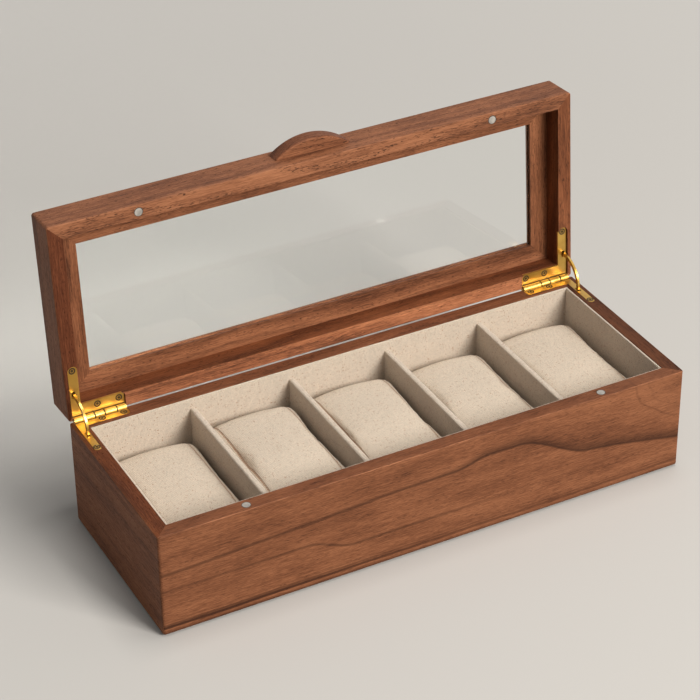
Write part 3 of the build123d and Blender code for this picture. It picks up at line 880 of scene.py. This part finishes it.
class WATCHBOX_OT_pane(bpy.types.Operator):
    """Clear glass in the lid"""

    bl_idname = "watchbox.pane"
    bl_label = "Glass pane"

    def execute(self, context):
        coat("glass_pane", clear_glass("clear glass"))
        return {"FINISHED"}


class WATCHBOX_OT_hinges(bpy.types.Operator):
    """Brass on the hinge leaves, pins, stays and screws"""

    bl_idname = "watchbox.hinges"
    bl_label = "Hinges"

    def execute(self, context):
        for seed, hand in enumerate(HANDS, 1):
            for half, into in (("base", -1), ("lid", 1)):
                swing = half == "lid"
                screws, face = screw_places(f"{half}_screws_{hand}", swing, into)
                name = f"brass {half} leaf {hand}"
                leaf = brass(name, seed, LEAF_SHINE, swing, screws, gaps=KNUCKLES[hand])
                coat(f"{half}_leaf_{hand}", leaf)
                name = f"brass {half} screws {hand}"
                slotted = brass(name, seed + 4, SMALL_SHINE, swing, screws, HEAD_SHADE_RING, face=face)
                coat(f"{half}_screws_{hand}", slotted)
            coat(f"hinge_pin_{hand}", brass(f"brass pin {hand}", seed + 8, SMALL_SHINE))
            coat(f"stay_{hand}", brass(f"brass stay {hand}", seed + 12, SMALL_SHINE))
        return {"FINISHED"}


class WATCHBOX_OT_magnets(bpy.types.Operator):
    """Nickel on the magnets"""

    bl_idname = "watchbox.magnets"
    bl_label = "Magnets"

    def execute(self, context):
        for half in ("base", "lid"):
            for hand in HANDS:
                node = f"{half}_magnet_{hand}"
                coat(node, nickel(f"satin nickel {half} {hand}", node))
        return {"FINISHED"}


class WATCHBOX_OT_foot(bpy.types.Operator):
    """Felt under the box"""

    bl_idname = "watchbox.foot"
    bl_label = "Felt"

    def execute(self, context):
        coat("felt_pad", felt("dark felt"))
        return {"FINISHED"}


class WATCHBOX_OT_stage(bpy.types.Operator):
    """Pale floor, soft lamps and the camera"""

    bl_idname = "watchbox.stage"
    bl_label = "Floor, lamps and camera"

    def execute(self, context):
        settings = context.scene.stage
        bpy.ops.object.select_all(action="DESELECT")
        bpy.ops.mesh.primitive_plane_add(size=12, location=(0, 0, 0))
        floor = bpy.context.object
        floor.name = "floor"
        recipe = Recipe("pale floor")
        seen = recipe.seen_rays()
        shaded, lit, glow = (
            tuple(level * share for level in settings.floor)
            for share in (FLOOR_BOUNCE, FLOOR_SEEN, FLOOR_GLOW)
        )
        across, deep, _ = recipe.parts(recipe.node("ShaderNodeTexCoord", output="Object"))
        away = recipe.smooth((across * across + deep * deep).root(), 0.3, 1.2)
        recipe.finish(
            Base_Color=recipe.mixed(seen, shaded, lit),
            Emission_Color=recipe.mixed(seen * away, (0.0, 0.0, 0.0), glow),
            Emission_Strength=1.0,
            Roughness=0.9,
            Specular_IOR_Level=0.1,
        )
        floor.data.materials.append(recipe.material)
        self.light(settings)
        self.camera()
        return {"FINISHED"}

    def light(self, settings):
        """The world and the lamps."""
        air = Recipe("studio air", world=True)
        strength = air.smooth(air.seen_rays(), 0.0, 1.0, settings.ambient, BACKGROUND_STRENGTH)
        bpy.context.scene.world = air.finish(Color=(1.0, 0.985, 0.965), Strength=strength)

        aim = Vector((0, 0, 0.07))
        for name, direction, width, height, power, tint in (
            ("key lamp", (0.3, -0.72, 0.45), 1.1, 0.93, settings.key_power, (1.0, 0.965, 0.92)),
            ("top lamp", (0.15, 0.0, 1.0), 1.2, 1.0, settings.top_power, (1.0, 0.975, 0.94)),
        ):
            place = aim + Vector(direction).normalized() * LAMP_DISTANCE
            lamp_data = bpy.data.lights.new(name, "AREA")
            lamp_data.shape = "RECTANGLE"
            lamp_data.size = width
            lamp_data.size_y = height
            lamp_data.energy = power
            lamp_data.color = tint
            lamp = bpy.data.objects.new(name, lamp_data)
            lamp.location = place
            lamp.rotation_euler = (aim - place).to_track_quat("-Z", "Y").to_euler()
            bpy.context.scene.collection.objects.link(lamp)

    def camera(self):
        """The camera at the photograph's angle, for a square picture."""
        azimuth, elevation, roll = (math.radians(angle) for angle in CAMERA_ANGLES)
        ahead = Vector((
            -math.sin(azimuth) * math.cos(elevation),
            math.cos(azimuth) * math.cos(elevation),
            -math.sin(elevation),
        ))
        level_right = ahead.cross(Vector((0, 0, 1))).normalized()
        level_up = level_right.cross(ahead)
        right = level_right * math.cos(roll) + level_up * math.sin(roll)
        up = level_up * math.cos(roll) - level_right * math.sin(roll)
        data = bpy.data.cameras.new("camera")
        data.sensor_width = SENSOR_WIDTH
        data.lens = FOCAL_PIXELS / PICTURE_PIXELS * data.sensor_width
        data.clip_start = 0.05
        data.clip_end = 50
        camera = bpy.data.objects.new("camera", data)
        turn = Matrix((right, up, -ahead)).transposed().to_4x4()
        camera.matrix_world = Matrix.Translation(CAMERA_PLACE) @ turn
        bpy.context.scene.collection.objects.link(camera)
        bpy.context.scene.camera = camera


STEPS = (
    WATCHBOX_OT_case,
    WATCHBOX_OT_lid,
    WATCHBOX_OT_lining,
    WATCHBOX_OT_cushions,
    WATCHBOX_OT_pane,
    WATCHBOX_OT_hinges,
    WATCHBOX_OT_magnets,
    WATCHBOX_OT_foot,
    WATCHBOX_OT_stage,
)


class WATCHBOX_PT_panel(bpy.types.Panel):
    """The sizes, colours and steps of the box"""

    bl_idname = "WATCHBOX_PT_panel"
    bl_label = "Watch display box"
    bl_space_type = "VIEW_3D"
    bl_region_type = "UI"
    bl_category = "Watch box"

    def draw(self, context):
        for group in ("walnut", "linen", "metal", "stage"):
            settings = getattr(context.scene, group)
            box = self.layout.box()
            box.label(text=group.capitalize())
            for name in settings.__annotations__:
                box.prop(settings, name)
        for step in STEPS:
            self.layout.operator(step.bl_idname)


GROUPS = {
    "walnut": WalnutSettings,
    "linen": LinenSettings,
    "metal": MetalSettings,
    "stage": StageSettings,
}


def register():
    for name, group in GROUPS.items():
        bpy.utils.register_class(group)
        setattr(bpy.types.Scene, name, PointerProperty(type=group))
    for made in (*STEPS, WATCHBOX_PT_panel):
        bpy.utils.register_class(made)


def unregister():
    for made in (WATCHBOX_PT_panel, *reversed(STEPS)):
        bpy.utils.unregister_class(made)
    for name, group in GROUPS.items():
        delattr(bpy.types.Scene, name)
        bpy.utils.unregister_class(group)


def main():
    register()
    bpy.context.scene.view_settings.view_transform = "Standard"
    for step in STEPS:
        group, name = step.bl_idname.split(".")
        getattr(getattr(bpy.ops, group), name)()


if __name__ == "__main__":
    main()
